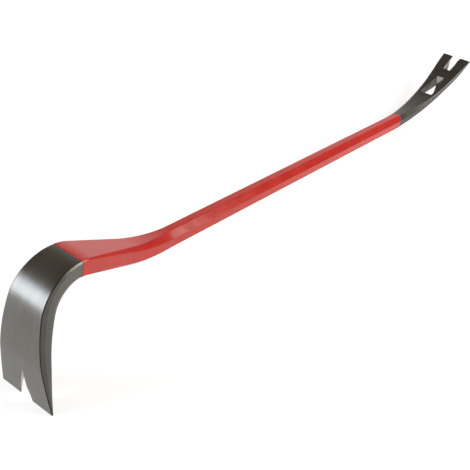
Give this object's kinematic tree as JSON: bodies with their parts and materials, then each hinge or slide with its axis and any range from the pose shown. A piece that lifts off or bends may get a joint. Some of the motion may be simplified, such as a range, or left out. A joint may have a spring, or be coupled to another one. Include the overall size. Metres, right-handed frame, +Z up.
{
  "type": "wrecking bar",
  "caption": "Forged pry bar with an octagonal red-coated shank, a wide hooked claw with a V notch and an upturned forked nail claw with a teardrop slot.",
  "frame": {"origin": "on the floor, under the middle of the bar's length, in its plane of symmetry", "axes": "+X along the bar from the wide claw to the nail claw, +Y across it, +Z up, with the bar standing on the wide claw's edge and on the heel under the nail claw"},
  "size_m": [0.918, 0.071, 0.1381],
  "materials": {
    "ground_steel": "satin, ground along the blade",
    "bar_steel": "as forged, hidden under the coat",
    "dark_steel": "hardened, dark and semi-matt",
    "red_powder": "glossy red powder coat"
  },
  "bodies": {
    "root": {"wide_claw": "ground_steel", "shank": "bar_steel", "nail_claw": "dark_steel", "red_coat": "red_powder"}
  },
  "joints": []
}
